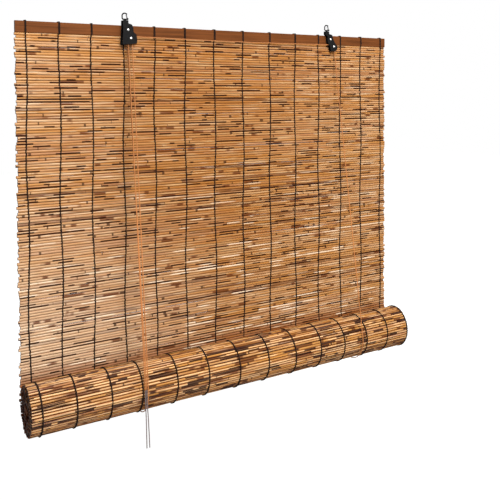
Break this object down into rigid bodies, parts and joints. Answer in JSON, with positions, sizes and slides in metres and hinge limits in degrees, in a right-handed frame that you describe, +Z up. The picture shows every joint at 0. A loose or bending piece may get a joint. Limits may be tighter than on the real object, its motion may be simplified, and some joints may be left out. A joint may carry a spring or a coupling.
{
  "type": "reed roll-up blind",
  "caption": "Hanging reed roll-up blind, its lower part rolled up in cord slings that run over caged pulleys with a cord lock, below swivelling snap hooks.",
  "frame": {"origin": "saddle of the left hook, where it hangs on its eye", "axes": "+X along the blind to the viewer's right, +Y away from the viewer, +Z up"},
  "size_m": [1, 0.1254, 0.972],
  "materials": {
    "reed": "natural reed with dark stains",
    "rail_wood": "stained flat wood",
    "thread": "twisted dark thread",
    "black_metal": "black painted sheet and wire",
    "bright_metal": "bright plated steel",
    "cord": "braided cord"
  },
  "bodies": {
    "head": {"head_rail": "rail_wood", "reed_mat": "reed", "mat_stitching": "thread", "rail_lashings": "thread", "left_case": "black_metal", "left_screw": "bright_metal", "left_spacer": "bright_metal", "left_axle": "bright_metal", "cam_pin": "black_metal", "right_case": "black_metal", "right_screw": "bright_metal", "right_spacer": "bright_metal", "right_axle": "bright_metal", "left_knot": "cord", "right_knot": "cord", "left_back_cord": "cord", "left_front_cord": "cord", "left_sheave_cord": "cord", "left_pull_cord": "cord", "right_back_cord": "cord", "right_front_cord": "cord", "cross_cord": "cord", "right_pull_cord": "cord"},
    "roll": {"reed_roll": "reed", "roll_stitching": "thread", "bottom_rail": "rail_wood"},
    "sling": {"left_sling_cord": "cord", "right_sling_cord": "cord", "left_pull_tail": "cord", "right_pull_tail": "cord"},
    "left_front_wheel": {"left_front_sheave": "bright_metal"},
    "left_back_wheel": {"left_back_sheave": "bright_metal"},
    "right_wheel": {"right_sheave": "bright_metal"},
    "cord_lock": {"lock_cam": "bright_metal"},
    "left_swivel": {"left_hook": "black_metal"},
    "right_swivel": {"right_hook": "black_metal"},
    "left_latch": {"left_gate": "bright_metal"},
    "right_latch": {"right_gate": "bright_metal"}
  },
  "joints": [
    {"name": "roll_lift", "type": "slide", "parent": "head", "child": "sling", "axis": [0, 0, 1], "range_m": [0, 0.6], "deforming": ["reed_mat", "mat_stitching", "left_back_cord", "right_back_cord", "left_front_cord", "right_front_cord", "left_pull_cord", "right_pull_cord"]},
    {"name": "roll_turn", "type": "hinge", "parent": "sling", "child": "roll", "pos_m": [0, -0.0421, -0.847], "axis": [-1, 0, 0], "range_deg": [0, 625]},
    {"name": "left_front_sheave_turn", "type": "hinge", "parent": "head", "child": "left_front_wheel", "pos_m": [0.0115, -0.0033, -0.0555], "axis": [0, -1, 0], "continuous": true},
    {"name": "left_back_sheave_turn", "type": "hinge", "parent": "head", "child": "left_back_wheel", "pos_m": [0.0115, 0.0033, -0.0555], "axis": [0, -1, 0], "continuous": true},
    {"name": "right_sheave_turn", "type": "hinge", "parent": "head", "child": "right_wheel", "pos_m": [0.582, 0.0033, -0.0555], "axis": [0, -1, 0], "continuous": true},
    {"name": "lock_cam_turn", "type": "hinge", "parent": "head", "child": "cord_lock", "pos_m": [0.0003, 0, -0.061], "axis": [0, 1, 0], "range_deg": [0, 35]},
    {"name": "left_hook_turn", "type": "hinge", "parent": "head", "child": "left_swivel", "pos_m": [0, 0, 0], "axis": [0, 0, 1], "continuous": true},
    {"name": "right_hook_turn", "type": "hinge", "parent": "head", "child": "right_swivel", "pos_m": [0.56, 0.0033, 0], "axis": [0, 0, 1], "continuous": true},
    {"name": "left_gate_open", "type": "hinge", "parent": "left_swivel", "child": "left_latch", "pos_m": [0.006, 0, -0.0116], "axis": [0, -1, 0], "range_deg": [0, 35], "stiffness_Nm_per_rad": 0.002},
    {"name": "right_gate_open", "type": "hinge", "parent": "right_swivel", "child": "right_latch", "pos_m": [0.566, 0.0033, -0.0116], "axis": [0, -1, 0], "range_deg": [0, 35], "stiffness_Nm_per_rad": 0.002}
  ],
  "couplings": [
    {"joint": "roll_turn", "follows": "roll_lift", "rad_per_m": 18.116},
    {"joint": "left_front_sheave_turn", "follows": "roll_lift", "rad_per_m": 434.78},
    {"joint": "left_back_sheave_turn", "follows": "roll_lift", "rad_per_m": 434.78},
    {"joint": "right_sheave_turn", "follows": "roll_lift", "rad_per_m": 434.78}
  ]
}
